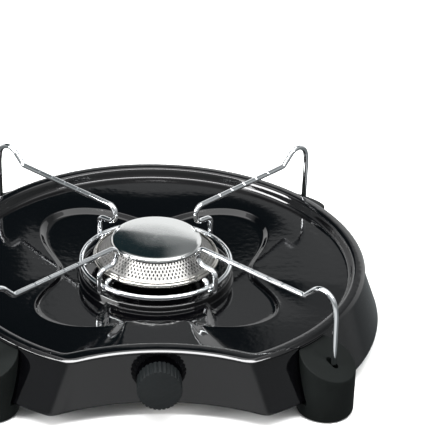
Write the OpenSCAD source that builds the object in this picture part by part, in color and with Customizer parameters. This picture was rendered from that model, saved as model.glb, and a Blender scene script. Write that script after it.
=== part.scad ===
// Single burner table stove: an enamelled tray on a flared wall, a stainless burner,
// a lift-off wire pan support that stands in four rubber feet, and a gas valve with its pipe.
// Azimuths are in degrees from the middle of the front, which faces -Y.

/* [Tray] */
// Radius of the tray over its rim
rim_r = 157; // [152:0.5:162]
// Height of the rim above the table
rim_h = 53.5; // [52:0.5:58]
// Thickness of the tray and wall sheets
sheet = 1; // [0.8:0.1:1.2]
// How far the rim's outer lip hangs down
lip_drop = 2.8; // [2.4:0.1:4]
// Distance from the rim's edge to the inner edge of its flat band
rim_band = 7.3; // [7.2:0.1:8]
// How much wider the flat band is along the concave front
front_band = 3; // [0:0.1:4]
// Distance from the burner's axis to the middle of the concave front
front_y = 126.5; // [123:0.5:130]
// Radius of the concave front
front_bow_r = 145; // [138:1:165]
// Softness of the two front corners
corner_soft = 5; // [3:1:12]
// How far the rim is drawn in towards the front corners
front_draw = 3.7; // [0:0.1:5]
// Depth of the dished floor at its outer edge, below the rim
dish_depth = 7.5; // [6:0.1:9]
// How far the floor falls from its outer edge to the recess's waists
dish_fall = 2.5; // [1.5:0.1:3]

/* [Recess and collar] */
// Depth of the lobed recess
recess_depth = 3; // [2:0.1:3.5]
// Radius of the recess at its waists
waist_r = 72.5; // [70:0.5:76]
// How far the front lobes reach past the waists
front_lobe = 34; // [26:0.5:38]
// How far the rear lobes reach past the waists
rear_lobe = 43.5; // [34:0.5:46]
// Radial width of the recess's sloping edge
recess_edge = 3.5; // [2:0.1:5]
// Rise of the tongue over the mixing tube, above the recess's floor
tongue_rise = 2.7; // [2:0.1:3]
// Rise of the platform behind the front rim, above the floor
platform_rise = 1.8; // [1:0.1:2.4]
// Height of the collar above the recess's waists
collar_h = 6.4; // [5:0.1:8]
// Depth of the well inside the collar
well_depth = 3.4; // [2.5:0.1:3.8]

/* [Wall] */
// How far the wall flares out between its top and its hem
wall_flare = 13.8; // [10:0.1:15]
// How far the middle of the front wall leans out between its top and its hem
front_flare = 4.7; // [1:0.1:6]
// Radius of the concave front along the hem
hem_bow_r = 163; // [150:1:175]
// Height of the wall's bottom edge above the table
wall_foot = 11.5; // [10:0.5:14]
// Radius of the hem that is rolled inward at the wall's bottom edge
hem_r = 2; // [1.5:0.1:3]
// Width of the flange at the top of the wall, under the rim
flange_w = 3.5; // [3:0.1:3.8]

/* [Pan support] */
// Radius of the wire ring, to the middle of its wire
ring_r = 55.6; // [54:0.2:58]
// Wire diameter of the ring
ring_wire = 3.8; // [3.2:0.1:4.2]
// Wire diameter of the arms
arm_wire = 4; // [3.5:0.1:4.4]
// Distance of the arms' legs from the feet's axes
leg_out = 5.2; // [3:0.1:7]
// Height of the arms' straight runs above the ring
arm_rise = 27.9; // [27:0.1:31]
// Height of the arms' humps above their straight runs
hump_rise = 11.5; // [9:0.5:13]
// Radius of the humps
hump_r = 11.5; // [10:0.1:12]
// How far the front arms lean up, and the rear arms down, about the ring
arm_lean = 1.2; // [0:0.1:2]
// Number of nicks on each arm
nicks = 5; // [3:1:6]
// Pitch of the nicks
nick_pitch = 14; // [10:0.5:15]
// Depth of the nicks
nick_depth = 0.6; // [0.4:0.1:0.8]
// How deep the legs stand in the feet
leg_depth = 12; // [9:0.5:13]

/* [Feet] */
// Radius of the feet
foot_r = 20.4; // [19.6:0.1:21]
// Distance of the feet's axes from the rim
foot_out = 10; // [8:0.5:12]
// Slope of the feet's tops
foot_slope = 23.4; // [20:0.2:26]
// Height of the feet's tops on their own axes
foot_h = 42.3; // [40:0.1:43]
// Radius of the feet's bottom edges
foot_round = 3; // [1:0.5:4]
// Thread diameter of the screws that hold the feet
foot_screw_d = 4; // [3:0.5:5]

/* [Burner] */
// Radius of the burner's cap
cap_r = 34; // [31:0.2:35]
// Rise of the cap's dome
cap_dome = 2.4; // [1.5:0.1:4]
// Outer radius of the polished rim ring
burner_r = 47.2; // [46:0.1:47.4]
// Height of the burner's bowl
bowl_h = 13.5; // [12:0.1:15]
// Height of the cone with the flame ports
cone_h = 12.4; // [11:0.1:14]
// Rows of flame ports
port_rows = 4; // [2:1:5]
// Flame ports in each row
port_count = 60; // [30:1:72]
// Diameter of a flame port
port_d = 1.3; // [1:0.1:1.5]
// Thickness of the burner's steel
burner_sheet = 0.8; // [0.6:0.1:1]

/* [Gas] */
// Depth of the gas axis below the floor of the well
gas_drop = 12.3; // [11.5:0.1:13]
// Outer radius of the mixing tube
tube_r = 9; // [8:0.1:9.4]
// Wall of the mixing tube
tube_wall = 1.2; // [1:0.1:2]
// Radius of the valve's spindle
spindle_r = 3; // [2.5:0.1:3.5]
// Radius of the valve's barrel
valve_r = 9; // [8.5:0.1:9.5]
// Radius of the threads on the valve's neck and of the pipe nuts
neck_r = 6; // [5.5:0.1:6.5]
// Diameter of the gas pipe
pipe_d = 6; // [5:0.5:7]
// Radius of the pipe's bends
pipe_bend = 12; // [10:1:16]
// Distance of the pipe from the middle of the stove
pipe_x = 36; // [36:1:42]
// Radius of the hose thread at the rear
inlet_r = 6.5; // [6:0.1:7.5]
// Length of the hose thread behind the wall
inlet_len = 12; // [10:0.5:16]

/* [Knob] */
// Radius of the knob
knob_r = 15.8; // [14:0.1:16.5]
// Length of the knob
knob_len = 13.4; // [12:0.1:15]
// Distance between the knob and the wall
knob_gap = 1.2; // [1:0.1:4]
// Number of flutes
flutes = 30; // [20:1:36]
// Radius of the flutes
flute_r = 1.2; // [0.8:0.1:1.4]

/* [Hidden] */

// Clearances: between pieces that only pass each other, of bores, between sheets, and of threads
gap = 0.3;
fit = 0.08;
touch = 0.1;
thread_play = 0.04;

// Azimuths of the feet and arms
left_front = -45;
right_front = 45;
right_rear = 135;
left_rear = -135;

// Heights, from the tray down and up
recess_z = rim_h - dish_depth - dish_fall - recess_depth;
collar_z = recess_z + collar_h;
well_z = collar_z - well_depth;
gas_z = well_z - gas_drop;
hook_r = (ring_wire + arm_wire) / 2 + gap;
ring_z = collar_z + gap + arm_wire / 2 + hook_r;
arm_z = ring_z + arm_rise;
lip_z = rim_h - lip_drop;
flange_z = rim_h - sheet - touch;

// Where the feet stand and where the arms' legs stand in them
foot_at = rim_r + foot_out;
arm_reach = foot_at + leg_out;

// The wall keeps this far inside the rim
wall_inset = 2.5;
spokes = 96;

// Sheets are lofted from spokes: a spoke is the sheet's section at one azimuth
// The front is an arc of radius f whose middle lies y in front of the burner's axis
function front_arc(az, y, f) =
    let (c = y + f, s = f * f - pow(c * sin(az), 2))
    (cos(az) > 0 && s > 0) ? c * cos(az) - sqrt(s) : 2 * rim_r;
function soft_min(a, b, k) = let (h = max(k - abs(a - b), 0) / k) min(a, b) - h * h * k / 4;
function outline(az, r, y, f) = soft_min(r, front_arc(az, y, f), corner_soft);

// The spokes are spaced so that one of them meets each front corner of the rim
corner_az = 24;
front_spokes = 6;
function spoke_az(i) =
    i <= front_spokes ? corner_az * i / front_spokes
    : i >= spokes - front_spokes ? 360 - corner_az * (spokes - i) / front_spokes
    : corner_az + (360 - 2 * corner_az) * (i - front_spokes) / (spokes - 2 * front_spokes);
function off_front(az) = abs(az > 180 ? az - 360 : az);
function smooth(x) = let (t = min(max(x, 0), 1)) t * t * (3 - 2 * t);
function drawn(az) = front_draw * smooth((100 - off_front(az)) / 60);
function bump(x, half) = abs(x) < half ? (1 + cos(180 * x / half)) / 2 : 0;

// Outline of the lobed recess: four lobes, with waists at the sides and at the back
front_lobe_az = 51.5;
rear_lobe_az = 139;
lobe_to_side = 36;
lobe_to_front = 46;
rear_lobe_half = 47;
function recess_r(az) =
    let (a = off_front(az), side = a > front_lobe_az ? lobe_to_side : lobe_to_front)
    waist_r + front_lobe * bump(a - front_lobe_az, side)
        + rear_lobe * bump(a - rear_lobe_az, rear_lobe_half);

// The tongue is wide at the collar and narrow at the recess's edge
tongue_az_collar = 41;
tongue_az_edge = 29;
platform_az = 21;
soft_az = 4;
function near_front(az, half) = smooth((half - off_front(az)) / soft_az + 0.5);

// The floor is a shallow cone, and so is the recess's floor below it
dish_in = rim_band + 5.7;
dish_r = rim_r - dish_in;
function dish_z(r) = rim_h - dish_depth - dish_fall * (dish_r - r) / (dish_r - waist_r);

// The flat band is wider along the front
function front_in(in) = in + front_band * min(max(in - 2, 0) / (rim_band - 2), 1);
function rim_at(az, in) =
    outline(az, rim_r - drawn(az) - in, front_y - front_in(in), front_bow_r + front_in(in));

// Rim section: distance in from the outer edge and drop below the crest
function rim_section(drop) = [
    [0.15, lip_drop], [0, lip_drop - 0.6], [0, 1.6], [0.5, 0.5], [1.9, 0], [rim_band, 0],
    [rim_band + 1.2, 0.35], [rim_band + 2.2, 1.4],
    [dish_in - 1.7, drop - 1.3], [dish_in - 0.8, drop - 0.35], [dish_in, drop]
];
function tray_spoke(az) =
    let (edge_r = recess_r(az), foot_r = edge_r - recess_edge, collar_r = ring_r + lip_half + 0.6)
    concat(
        [for (p = rim_section(rim_h - dish_z(rim_at(az, dish_in)))) [rim_at(az, p[0]), rim_h - p[1]]],
        [
            [edge_r, dish_z(edge_r) + platform_rise * near_front(az, platform_az)],
            [foot_r, dish_z(foot_r) - recess_depth + tongue_rise * near_front(az, tongue_az_edge)]
        ],
        collar_section(dish_z(collar_r) - recess_depth
            + tongue_rise * near_front(az, tongue_az_collar))
    );

// Wall section: up from the hem's inner edge to the flange under the rim
wall_top_z = flange_z - sheet;
hem_z = wall_foot + hem_r;
function wall_share(z) = (wall_top_z - z) / (wall_top_z - hem_z);
function wall_r(z) = rim_r - wall_inset + wall_flare * wall_share(z);
function wall_y(z) = front_y - wall_inset + front_flare * wall_share(z);
function wall_bow(z) =
    (front_bow_r + wall_inset) * (1 - wall_share(z)) + hem_bow_r * wall_share(z);
function wall_drawn(az, z) =
    drawn(az) * (1 - wall_share(z))
        + front_draw * smooth((60 - off_front(az)) / 30) * wall_share(z);
hem_arc = [for (a = [-150 : 30 : 0]) hem_r * [1 - cos(a), 1 + sin(a)]];

// Points of the section: how far inside the wall, the height that the wall is taken at, and z
wall_section = concat(
    [for (p = hem_arc) [p[0], hem_z, wall_foot + p[1]]],
    [
        [0, wall_top_z, wall_top_z], [1, wall_top_z, flange_z],
        [flange_w + 1, wall_top_z, flange_z]
    ]
);
function wall_at(az, in, z) =
    outline(az, wall_r(z) - wall_drawn(az, z) - in, wall_y(z) - in, wall_bow(z) + in);
function wall_spoke(az) = [for (p = wall_section) [wall_at(az, p[0], p[1]), p[2]]];

// The sheet's other face lies one thickness away, square to the section
function section_normal(path, i) =
    let (t = path[min(i + 1, len(path) - 1)] - path[max(i - 1, 0)])
    [-t[1], t[0]] / norm(t);
function thickened(path, t) = concat(
    path,
    [for (i = [len(path) - 1 : -1 : 0]) path[i] + t * section_normal(path, i)]
);

// Collar, with a rounded lip that the hooks of the arms pass over, and the well inside it
lip_half = 1.6;
collar_in_r = ring_r - lip_half;
hole_r = 12;
function collar_section(foot_z) = concat(
    [[ring_r + lip_half + 0.6, foot_z], [ring_r + lip_half + 0.1, foot_z + 0.4]],
    [for (a = [0 : 45 : 180])
        [ring_r + lip_half * cos(a), collar_z - lip_half + lip_half * sin(a)]],
    [[collar_in_r - 0.4, well_z + 0.4], [collar_in_r - 1, well_z], [hole_r, well_z]]
);
burner_screw_at = 17.4;
burner_screw_d = 4;
burner_screw_az = [90 : 120 : 330];

// Feet
foot_cap_z = lip_z - 0.4;
function foot_top(r) = foot_h - (r - foot_at) * tan(foot_slope);
leg_foot_z = foot_top(arm_reach) - leg_depth;
leg_swing = 1.9;
leg_hollow = 3.6;
foot_screw_z = 22;
foot_screw_head = 3;
washer_t = 1;
foot_in = foot_at - foot_r;
foot_screw_len = foot_r + 9;

// Front wall, knob and valve, along the gas axis
wall_front_y = -wall_y(gas_z);
knob_back_y = -wall_y(gas_z - knob_r) - knob_gap;
knob_face_y = knob_back_y - knob_len;
plate = 1.2;
bracket_leg = 3.7;
valve_plate_y = -front_y + 7.2;
valve_back_y = valve_plate_y + plate;
valve_len = 12;
nut_h = 4;
neck_end_y = valve_plate_y - nut_h - 1.5;
gland_end_y = neck_end_y - 2.2;
seal_l = 2.8;
jet_y = valve_back_y + valve_len + 2;
port_y = valve_back_y + valve_len / 2 + 1;
port_x = 15;
thread_l = 6;
jet_len = 8;
mouth_y = jet_y + jet_len - 2;
spindle_front_y = knob_face_y + 3;
spindle_seat_y = valve_back_y + 6;

// Rear inlet
inlet_plate_y = rim_r - 8.2;
inlet_wall_y = wall_r(gas_z);
inlet_end_y = inlet_wall_y + inlet_len;
inlet_step = 0.5;
inlet_step_y = inlet_wall_y + 0.6;
shoulder_l = 8;
inlet_in_y = inlet_plate_y - shoulder_l - 9;
bracket_w = 26;

// Hexagon nuts, by the width across their flats
neck_nut_af = 2 * neck_r + 4;
inlet_nut_af = 2 * inlet_r + 6;

// Burner heights
bowl_z = well_z + bowl_h;
cone_z = bowl_z + 1.2;
groove_z = bowl_z + 1;
cone_top_z = cone_z + cone_h;
rim_bead = 2.1;
bead_r = burner_r - rim_bead;
cone_in_r = bead_r - 0.7;
cone_top_r = cap_r - burner_sheet - 1.1;
cone_flange = 4;

// The whole stove is centred on the origin from front to back
front_edge_y = min([for (a = [0 : 0.5 : 40]) -wall_at(a, 0, hem_z) * cos(a)]);
middle_y = (front_edge_y + inlet_end_y) / 2;

module placed() { translate([0, -middle_y, 0]) children(); }
module at_azimuth(az) { rotate([0, 0, az - 90]) children(); }
module along_y(y, x = 0) { translate([x, y, gas_z]) rotate([-90, 0, 0]) children(); }
module hexagon(af, h) { rotate([0, 0, 30]) cylinder(d = af / cos(30), h = h, $fn = 6); }
module ring(r_out, r_in, h) {
    difference() {
        cylinder(r = r_out, h = h, $fn = 48);
        translate([0, 0, -1]) cylinder(r = r_in, h = h + 2, $fn = 48);
    }
}

// A sheet lofted through its spokes
module lofted(sections) {
    n = len(sections);
    m = len(sections[0]);
    polyhedron(
        points = [
            for (i = [0 : n - 1]) for (p = sections[i])
                [p[0] * sin(spoke_az(i)), -p[0] * cos(spoke_az(i)), p[1]]
        ],
        faces = [
            for (i = [0 : n - 1]) for (j = [0 : m - 1])
                let (a = i * m, b = ((i + 1) % n) * m, k = (j + 1) % m)
                each [[a + j, a + k, b + k], [a + j, b + k, b + j]]
        ],
        convexity = 8
    );
}

// A bent wire in the X-Z plane: straight runs with a bend of its own radius at each inner point.
// The runs are a hair thinner than the bends and reach a little way into them.
function heading(p, i) = (p[i + 1] - p[i]) / norm(p[i + 1] - p[i]);
function turn(p, i) =
    let (a = heading(p, i - 1), b = heading(p, i)) atan2(a[0] * b[1] - a[1] * b[0], a * b);
function run_off(p, bends, i) =
    (i == 0 || i == len(p) - 1) ? 0 : bends[i] * tan(abs(turn(p, i)) / 2);
module wire(p, bends, d) {
    into = 0.08;
    short = 0.02;
    thin = 0.02;
    last = len(p) - 2;
    for (i = [0 : last]) {
        h = heading(p, i);
        from = run_off(p, bends, i) - (i == 0 ? 0 : into);
        to = norm(p[i + 1] - p[i]) - run_off(p, bends, i + 1) + (i == last ? 0 : into);
        start = p[i] + h * from;
        translate([start[0], 0, start[1]])
            rotate([0, 90 - atan2(h[1], h[0]), 0])
                cylinder(d = d - thin, h = to - from, $fn = 24);
    }
    for (i = [1 : last]) {
        h = heading(p, i - 1);
        t = turn(p, i);
        side = sign(t) * [-h[1], h[0]];
        centre = p[i] - h * run_off(p, bends, i) + bends[i] * side;
        cut = short / bends[i] * 180 / PI;
        first = atan2(-side[1], -side[0]) + min(t, 0) + cut;
        translate([centre[0], 0, centre[1]])
            rotate([90, 0, 0])
                rotate([0, 0, first])
                    rotate_extrude(angle = abs(t) - 2 * cut, $fn = 96)
                        translate([bends[i], 0]) circle(d = d, $fn = 24);
    }
}

module tray() {
    color("#161718") placed() difference() {
        lofted([for (i = [0 : spokes - 1]) thickened(tray_spoke(spoke_az(i)), sheet)]);
        for (a = burner_screw_az)
            rotate([0, 0, a]) translate([burner_screw_at, 0, well_z - 5])
                cylinder(d = burner_screw_d + 0.3, h = 10, $fn = 24);
    }
}

module base_skirt() {
    color("#1c1d1e") placed() difference() {
        lofted([for (i = [0 : spokes - 1]) thickened(wall_spoke(spoke_az(i)), sheet)]);
        along_y(wall_front_y - 10) cylinder(r = neck_r + 3.5, h = 20, $fn = 48);
        along_y(inlet_wall_y - 12) cylinder(r = inlet_r + 2.5, h = 24, $fn = 48);
        for (a = [left_front, right_front, left_rear, right_rear])
            at_azimuth(a) translate([foot_in, 0, foot_screw_z])
                rotate([0, 90, 0]) cylinder(d = foot_screw_d + 0.4, h = 2 * foot_r, $fn = 24);
    }
}

// Section of the round wall with clearance, which the feet are slotted for
module wall_slot(az) {
    half = asin(foot_r / foot_at);
    near = off_front(az) - half;
    far = off_front(az) + half;
    low = hem_z + hem_r;
    out = wall_r(hem_z) - wall_drawn(far, hem_z) + gap;
    in = wall_r(hem_z) - wall_drawn(near, hem_z) - 2 * hem_r - gap;
    rotate_extrude($fn = 192) polygon([
        [in, wall_foot - gap], [out, wall_foot - gap], [out, hem_z],
        [wall_r(wall_top_z) - wall_drawn(far, wall_top_z) + gap, wall_top_z],
        [wall_r(wall_top_z) - wall_drawn(near, wall_top_z) - sheet - 2 * gap, wall_top_z],
        [wall_r(low) - wall_drawn(near, low) - sheet - 2 * gap, low], [in, low]
    ]);
}

// The feet keep clear of the tray's slope, which dips beside the rim's flat band
module under_slope(az) {
    deep = drawn(off_front(az) - asin(foot_r / foot_at));
    translate([0, 0, rim_h - dish_depth - sheet])
        cylinder(r = rim_r - deep - rim_band - sheet - gap, h = dish_depth + sheet, $fn = 192);
}

module foot(az, lean) {
    color("#2a2f2e") placed() at_azimuth(az) difference() {
        translate([foot_at, 0, 0]) rotate_extrude($fn = 64) polygon(concat(
            [[0, 1.5], [8, 1.5], [9.5, 0]],
            [for (a = [-90 : 22.5 : 0])
                [foot_r - foot_round + foot_round * cos(a), foot_round + foot_round * sin(a)]],
            [[foot_r, foot_cap_z], [0, foot_cap_z]]
        ));
        translate([foot_at, 0, foot_h]) rotate([0, foot_slope, 0])
            translate([-2 * foot_r, -2 * foot_r, 0]) cube(4 * foot_r);
        wall_slot(az);
        under_slope(az);
        leg_socket(lean);
        translate([foot_in - 1, 0, foot_screw_z]) rotate([0, 90, 0]) {
            cylinder(d = foot_screw_d + thread_play, h = foot_screw_len + 1, $fn = 32);
            cylinder(d = 2.4 * foot_screw_d, h = 3.2, $fn = 32);
        }
    }
}

// The socket is a slot, so that the leg has room to swing as its arm tilts, and its floor lies
// where the leaning leg ends
module leg_socket(lean) {
    r = arm_wire / 2 + gap;
    z = leg_foot_z - gap + (arm_reach - ring_r) * sin(lean);
    translate([arm_reach - leg_hollow, 0, z]) cylinder(r = r, h = foot_h, $fn = 32);
    translate([arm_reach + leg_swing, 0, z]) cylinder(r = r, h = foot_h, $fn = 32);
    translate([arm_reach - leg_hollow, -r, z]) cube([leg_hollow + leg_swing, 2 * r, foot_h]);
}

module front_left_foot() { foot(left_front, arm_lean); }
module front_right_foot() { foot(right_front, arm_lean); }
module rear_left_foot() { foot(left_rear, -arm_lean); }
module rear_right_foot() { foot(right_rear, -arm_lean); }

// One screw in each foot, put in from the inside of the wall
module foot_screws() {
    color("silver") placed() for (a = [left_front, right_front, left_rear, right_rear])
        at_azimuth(a) translate([foot_in + 1.2, 0, foot_screw_z]) rotate([0, 90, 0]) {
            translate([0, 0, -foot_screw_head]) difference() {
                cylinder(d = 2 * foot_screw_d, h = foot_screw_head, $fn = 32);
                translate([0, 0, -1]) cylinder(d = foot_screw_d * 0.7, h = 2.4, $fn = 6);
            }
            translate([0, 0, -1]) cylinder(d = foot_screw_d, h = foot_screw_len - 2, $fn = 32);
        }
}

module foot_washers() {
    color("silver") placed() for (a = [left_front, right_front, left_rear, right_rear])
        at_azimuth(a) translate([foot_in + 1.2, 0, foot_screw_z]) rotate([0, 90, 0])
            ring(1.15 * foot_screw_d, foot_screw_d / 2, washer_t);
}

module pan_support_ring() {
    color("#d8dadc") placed() translate([0, 0, ring_z]) rotate_extrude($fn = 128)
        translate([ring_r, 0]) circle(d = ring_wire, $fn = 32);
}

// An arm's wire, from the tip of its leg over the hump and along the straight run to the bend
// by the burner, and from there to the hook that goes round the ring from below
hook_x = ring_r + hook_r;
bend_in = ring_r - 13.2;
bend_h = 13.2;
knee_x = arm_reach - 28.4;
hump_z = arm_z + hump_rise + 10.2;
arm_points = [
    [arm_reach, leg_foot_z], [arm_reach, hump_z - 25.7], [arm_reach - 5.7, hump_z],
    [knee_x, arm_z], [bend_in, arm_z - 0.2],
    [bend_in, arm_z - bend_h], [hook_x, arm_z - bend_h - 1.4], [hook_x, ring_z - hook_r],
    [ring_r - hook_r, ring_z - hook_r], [ring_r - hook_r, ring_z + 2.6],
    [ring_r - hook_r - 3.4, ring_z + 2.6]
];
arm_bends = [0, 40, hump_r, 5, 6.3, 6.3, 5, hook_r, hook_r, 2.4, 0];

module leaning(lean) {
    translate([ring_r, 0, ring_z]) rotate([0, -lean, 0]) translate([-ring_r, 0, -ring_z])
        children();
}

module arm(az, lean) {
    color("#d8dadc") placed() at_azimuth(az) leaning(lean) difference() {
        wire(arm_points, arm_bends, arm_wire);
        for (i = [0 : nicks - 1])
            translate([ring_r + 12 + nick_pitch * i, 0, arm_z + arm_wire / 2 - nick_depth])
                rotate([0, -20, 0]) translate([-0.5, -3, 0]) cube([1.4, 6, 3]);
    }
}

module front_left_arm() { arm(left_front, arm_lean); }
module front_right_arm() { arm(right_front, arm_lean); }
module rear_left_arm() { arm(left_rear, -arm_lean); }
module rear_right_arm() { arm(right_rear, -arm_lean); }

module burner_cap() {
    dome_top = cone_top_z + burner_sheet + cap_dome;
    shoulder = 2.6;
    edge_z = cone_top_z + burner_sheet;
    color("#b9bcbd") placed() rotate_extrude($fn = 96) difference() {
        polygon(concat(
            [[0, cone_top_z - 1]],
            [[cap_r, cone_top_z - 1]],
            [for (a = [0 : 15 : 75])
                [cap_r - shoulder + shoulder * cos(a), edge_z - shoulder + shoulder * sin(a) + 1]],
            [for (x = [cap_r - 4 : -5 : 4])
                [x, edge_z + 1 + (dome_top - edge_z - 1) * (1 - pow(x / (cap_r - shoulder), 2))]],
            [[0, dome_top]]
        ));
        polygon([
            [-1, cone_top_z - 2], [cap_r - burner_sheet, cone_top_z - 2],
            [cap_r - burner_sheet, cone_top_z + touch],
            [cone_top_r - cone_flange - 1, cone_top_z + touch],
            [cone_top_r - cone_flange - 2, edge_z], [-1, dome_top - burner_sheet]
        ]);
    }
}

module burner_port_ring() {
    slope = atan2(cone_in_r - cone_top_r, cone_h);
    row_step = (cone_h - 4.6) / (port_rows - 1);
    color("#c2c4c4") placed() difference() {
        rotate_extrude($fn = 96) polygon([
            [bead_r + 0.6, bowl_z + touch], [bead_r + 0.6, groove_z - touch],
            [cone_in_r, groove_z - touch], [cone_in_r, cone_z],
            [cone_top_r, cone_top_z], [cone_top_r - cone_flange, cone_top_z],
            [cone_top_r - cone_flange, cone_top_z - burner_sheet],
            [cone_top_r - burner_sheet, cone_top_z - burner_sheet],
            [cone_in_r - 1.3 * burner_sheet, bowl_z + touch]
        ]);
        for (row = [0 : port_rows - 1]) {
            up = 2.2 + row * row_step;
            r = cone_in_r - (cone_in_r - cone_top_r) * up / cone_h;
            for (i = [0 : port_count - 1])
                rotate([0, 0, 360 * (i + row % 2 / 2) / port_count])
                    translate([r, 0, cone_z + up]) rotate([0, 90 - slope, 0])
                        translate([0, 0, -2]) cylinder(d = port_d, h = 4, $fn = 16);
        }
    }
}

// The rim ring is crimped over the flanges of the bowl and the cone
module burner_rim_ring() {
    color("#d2d4d4") placed() rotate_extrude($fn = 96) difference() {
        union() {
            translate([bead_r, bowl_z]) circle(r = rim_bead, $fn = 32);
            translate([bead_r - 0.1, bowl_z + rim_bead + 0.2]) circle(r = 1, $fn = 24);
        }
        translate([bead_r - 5, bowl_z - 1 - touch])
            square([5 + 0.6 + touch, groove_z - bowl_z + 1 + touch]);
        polygon([
            [bead_r - 5, bowl_z - 1], [cone_in_r + touch, groove_z - 0.2], [cone_in_r + touch, cone_z],
            [cone_in_r + touch - 2.3, cone_z + 3], [bead_r - 6, cone_z + 3]
        ]);
    }
}

module burner_bowl() {
    color("#8f9294") placed() difference() {
        rotate_extrude($fn = 96) polygon([
            [hole_r, well_z], [21.5, well_z], [23, well_z + 1], [bead_r - 2.4, bowl_z - 1],
            [bead_r + 0.6, bowl_z - 1], [bead_r + 0.6, bowl_z], [bead_r - 3.4, bowl_z],
            [22.4, well_z + 2.6], [hole_r, well_z + 2.6]
        ]);
        for (a = burner_screw_az)
            rotate([0, 0, a]) translate([burner_screw_at, 0, well_z - 1])
                cylinder(d = burner_screw_d + thread_play, h = 6, $fn = 24);
    }
}

flange_t = 2;
riser_r = 13.5;
module mixing_tube() {
    flange_top = well_z - sheet;
    color("#9da0a2") placed() difference() {
        union() {
            along_y(mouth_y) {
                cylinder(r = tube_r, h = -mouth_y, $fn = 48);
                cylinder(r1 = tube_r + 2, r2 = tube_r, h = 9, $fn = 48);
            }
            translate([0, 0, gas_z - tube_r]) 
                cylinder(r = riser_r, h = flange_top - gas_z + tube_r, $fn = 48);
            translate([0, 0, flange_top - flange_t]) cylinder(r = 21.5, h = flange_t, $fn = 64);
        }
        along_y(mouth_y - 1) cylinder(r = tube_r - tube_wall, h = -mouth_y + 1, $fn = 48);
        along_y(mouth_y - 0.01)
            cylinder(r1 = tube_r + 2 - tube_wall, r2 = tube_r - tube_wall, h = 9, $fn = 48);
        translate([0, 0, gas_z - tube_r + tube_wall])
            cylinder(r = riser_r - tube_wall - 1, h = 40, $fn = 48);
        for (a = burner_screw_az)
            rotate([0, 0, a]) translate([burner_screw_at, 0, flange_top - 10])
                cylinder(d = burner_screw_d + 0.3, h = 20, $fn = 24);
    }
}

module burner_screws() {
    under = well_z - sheet - flange_t;
    color("silver") placed() for (a = burner_screw_az)
        rotate([0, 0, a]) translate([burner_screw_at, 0, under]) {
            translate([0, 0, -2.4]) difference() {
                cylinder(d = 1.8 * burner_screw_d, h = 2.4, $fn = 32);
                translate([0, 0, -1]) cylinder(d = burner_screw_d * 0.7, h = 2, $fn = 6);
            }
            translate([0, 0, -1])
                cylinder(d = burner_screw_d, h = sheet + flange_t + 3.4, $fn = 32);
        }
}

module jet() {
    color("#c9a24a") placed() difference() {
        union() {
            along_y(jet_y - 3) cylinder(r = neck_r / 2, h = 5, $fn = 32);
            along_y(jet_y) hexagon(8, 3.5);
            along_y(jet_y + 2) cylinder(r1 = 3.8, r2 = 1.8, h = jet_len - 2, $fn = 32);
        }
        along_y(jet_y - 4) cylinder(r = 1.2, h = jet_len + 2, $fn = 24);
        along_y(jet_y) cylinder(r = 0.4, h = jet_len + 1, $fn = 16);
    }
}

module valve_body() {
    color("#c4a052") placed() difference() {
        union() {
            along_y(valve_back_y) cylinder(r = valve_r, h = valve_len, $fn = 48);
            along_y(valve_back_y + valve_len - 1) cylinder(r = neck_r, h = 3, $fn = 48);
            along_y(neck_end_y) cylinder(r = neck_r, h = valve_back_y - neck_end_y + 1, $fn = 48);
            translate([0, port_y, gas_z]) rotate([0, 90, 0]) {
                cylinder(r = neck_r + 0.6, h = port_x, $fn = 48);
                cylinder(r = neck_r, h = port_x + thread_l, $fn = 48);
            }
        }
        along_y(neck_end_y - 1)
            cylinder(r = spindle_r + fit, h = spindle_seat_y - neck_end_y + 1, $fn = 48);
        along_y(neck_end_y - 1) cylinder(r = neck_r - 1, h = seal_l + 1.2, $fn = 48);
        along_y(spindle_seat_y - 1) cylinder(r = 1.2, h = 20, $fn = 24);
        along_y(jet_y - 3) cylinder(r = neck_r / 2, h = 5, $fn = 32);
        translate([0, port_y, gas_z]) rotate([0, 90, 0]) {
            cylinder(r = 1.5, h = 40, $fn = 24);
            translate([0, 0, port_x + 1]) cylinder(d = pipe_d + 2 * fit, h = 20, $fn = 32);
        }
    }
}

// Bent plates that hang from the wall's flange
module bracket(hole, side) {
    top = flange_z - sheet - touch;
    difference() {
        union() {
            translate([-bracket_w / 2, 0, gas_z - 12]) cube([bracket_w, plate, top - gas_z + 12]);
            translate([-bracket_w / 2, side > 0 ? 0 : plate - bracket_leg, top - plate])
                cube([bracket_w, bracket_leg, plate]);
        }
        translate([0, -5, gas_z]) rotate([-90, 0, 0]) cylinder(r = hole, h = 10, $fn = 48);
    }
}

module valve_bracket() {
    color("#8d9093") placed() translate([0, valve_plate_y, 0]) bracket(neck_r + touch, -1);
}

module valve_locknut() {
    color("#c4a052") placed() along_y(valve_plate_y - nut_h) difference() {
        hexagon(neck_nut_af, nut_h);
        translate([0, 0, -1]) cylinder(r = neck_r + thread_play / 2, h = nut_h + 2, $fn = 48);
    }
}

module valve_gland_nut() {
    h = valve_plate_y - nut_h - gland_end_y - 0.2;
    color("#c4a052") placed() along_y(gland_end_y) difference() {
        hexagon(neck_nut_af - 1, h);
        translate([0, 0, -1]) cylinder(r = spindle_r + fit, h = 20, $fn = 48);
        translate([0, 0, neck_end_y - gland_end_y - 0.1]) cylinder(r = neck_r + thread_play / 2, h = 20, $fn = 48);
    }
}

module spindle_seal() {
    color("#2a2a2a") placed() along_y(neck_end_y + 0.1)
        ring(neck_r - 1.05, spindle_r + 0.05, seal_l);
}

// The knob's end of the spindle has a flat, as its bore in the knob has
module flat_side(r, h) { translate([-2 * r, -1.7 * r, -1]) cube([4 * r, r, h + 1]); }

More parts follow.
